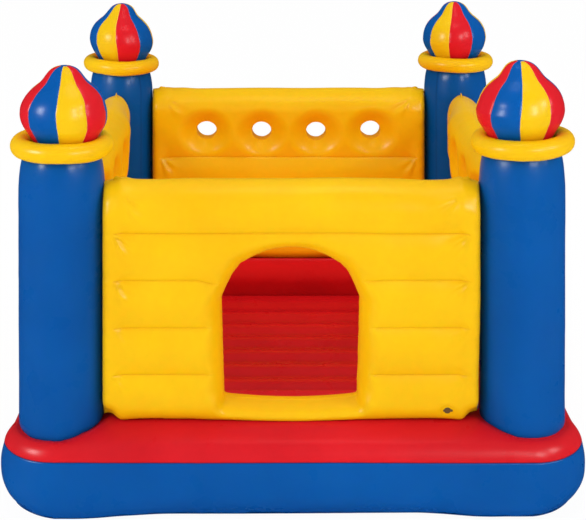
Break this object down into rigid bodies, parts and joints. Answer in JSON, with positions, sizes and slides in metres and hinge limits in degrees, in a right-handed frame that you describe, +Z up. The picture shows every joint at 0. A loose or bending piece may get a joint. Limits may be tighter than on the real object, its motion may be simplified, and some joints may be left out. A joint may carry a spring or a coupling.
{
  "type": "inflatable bounce house",
  "caption": "Square inflatable bounce house with round corner towers, onion domes, ribbed air-tube walls, an arched crawl-in door and a ribbed bounce floor.",
  "frame": {"origin": "centre of the footprint on the ground", "axes": "+Z up; -Y is the front with the arched door, +Y the rear; +X to the right seen from the front"},
  "size_m": [1.7504, 1.7504, 1.294],
  "materials": {
    "red_vinyl": "glossy heat-sealed vinyl sheet",
    "blue_vinyl": "glossy heat-sealed vinyl sheet",
    "yellow_vinyl": "glossy heat-sealed vinyl sheet",
    "web_vinyl": "plain inner vinyl, unprinted",
    "valve_vinyl": "soft clear vinyl, slightly yellowed",
    "flap_vinyl": "thin clear vinyl"
  },
  "bodies": {
    "castle": {"base_bottom_sheet": "blue_vinyl", "base_inner_band": "red_vinyl", "base_side_band": "blue_vinyl", "base_tension_webs": "web_vinyl", "base_top_sheet": "red_vinyl", "base_valve_flange": "valve_vinyl", "dome_tip_patches": "blue_vinyl", "door_sleeve": "yellow_vinyl", "floor_bottom_sheet": "blue_vinyl", "floor_side_gusset": "red_vinyl", "floor_tension_webs": "web_vinyl", "front_left_collar": "yellow_vinyl", "front_left_dome_blue_gores": "blue_vinyl", "front_left_dome_red_gores": "red_vinyl", "front_left_dome_yellow_gores": "yellow_vinyl", "front_left_tower_tube": "blue_vinyl", "front_right_collar": "yellow_vinyl", "front_right_dome_blue_gores": "blue_vinyl", "front_right_dome_red_gores": "red_vinyl", "front_right_dome_yellow_gores": "yellow_vinyl", "front_right_tower_tube": "blue_vinyl", "front_wall_skin": "yellow_vinyl", "front_wall_webs": "web_vinyl", "left_wall_skin": "yellow_vinyl", "left_wall_webs": "web_vinyl", "rear_left_collar": "yellow_vinyl", "rear_left_dome_blue_gores": "blue_vinyl", "rear_left_dome_red_gores": "red_vinyl", "rear_left_dome_yellow_gores": "yellow_vinyl", "rear_left_tower_tube": "blue_vinyl", "rear_right_collar": "yellow_vinyl", "rear_right_dome_blue_gores": "blue_vinyl", "rear_right_dome_red_gores": "red_vinyl", "rear_right_dome_yellow_gores": "yellow_vinyl", "rear_right_tower_tube": "blue_vinyl", "rear_wall_skin": "yellow_vinyl", "rear_wall_webs": "web_vinyl", "right_wall_skin": "yellow_vinyl", "right_wall_webs": "web_vinyl", "tower_foot_discs": "blue_vinyl", "tower_top_discs": "blue_vinyl", "wall_end_panels": "yellow_vinyl", "wall_tie_strips": "blue_vinyl", "wall_valve_flange": "valve_vinyl", "window_sleeves": "yellow_vinyl"},
    "bounce_floor": {"floor_top_sheet": "red_vinyl", "floor_valve_flange": "valve_vinyl"},
    "wall_valve_stem": {"wall_valve_stem": "valve_vinyl"},
    "wall_valve_cap": {"wall_valve_cap": "valve_vinyl"},
    "wall_valve_flap": {"wall_valve_flap": "flap_vinyl"},
    "base_valve_stem": {"base_valve_stem": "valve_vinyl"},
    "base_valve_cap": {"base_valve_cap": "valve_vinyl"},
    "base_valve_flap": {"base_valve_flap": "flap_vinyl"},
    "floor_valve_stem": {"floor_valve_stem": "valve_vinyl"},
    "floor_valve_cap": {"floor_valve_cap": "valve_vinyl"},
    "floor_valve_flap": {"floor_valve_flap": "flap_vinyl"}
  },
  "joints": [
    {"name": "floor_bounce", "type": "slide", "parent": "castle", "child": "bounce_floor", "axis": [0, 0, 1], "range_m": [-0.045, 0.012], "stiffness_N_per_m": 4000, "deforming": ["floor_tension_webs", "floor_side_gusset"]},
    {"name": "wall_valve_stem_slide", "type": "slide", "parent": "castle", "child": "wall_valve_stem", "axis": [0, -0.954, -0.2999], "range_m": [0, 0.016]},
    {"name": "wall_valve_cap_hinge", "type": "hinge", "parent": "wall_valve_stem", "child": "wall_valve_cap", "pos_m": [0.4446, -0.77985, 0.28943], "axis": [0, 0.2999, -0.954], "range_deg": [0, 150]},
    {"name": "wall_valve_flap_hinge", "type": "hinge", "parent": "wall_valve_stem", "child": "wall_valve_flap", "pos_m": [0.4459, -0.75753, 0.29645], "axis": [0, -0.2999, 0.954], "range_deg": [0, 60]},
    {"name": "base_valve_stem_slide", "type": "slide", "parent": "castle", "child": "base_valve_stem", "axis": [0, 0.9703, -0.2419], "range_m": [0, 0.016]},
    {"name": "base_valve_cap_hinge", "type": "hinge", "parent": "base_valve_stem", "child": "base_valve_cap", "pos_m": [0.3124, 0.87015, 0.06013], "axis": [0, -0.2419, -0.9703], "range_deg": [0, 150]},
    {"name": "base_valve_flap_hinge", "type": "hinge", "parent": "base_valve_stem", "child": "base_valve_flap", "pos_m": [0.3111, 0.84744, 0.06579], "axis": [0, 0.2419, 0.9703], "range_deg": [0, 60]},
    {"name": "floor_valve_stem_slide", "type": "slide", "parent": "bounce_floor", "child": "floor_valve_stem", "axis": [0, 0, 1], "range_m": [0, 0.016]},
    {"name": "floor_valve_cap_hinge", "type": "hinge", "parent": "floor_valve_stem", "child": "floor_valve_cap", "pos_m": [0.4676, -0.351, 0.1359], "axis": [0, -1, 0], "range_deg": [0, 150]},
    {"name": "floor_valve_flap_hinge", "type": "hinge", "parent": "floor_valve_stem", "child": "floor_valve_flap", "pos_m": [0.4689, -0.351, 0.1125], "axis": [0, 1, 0], "range_deg": [0, 60]}
  ]
}
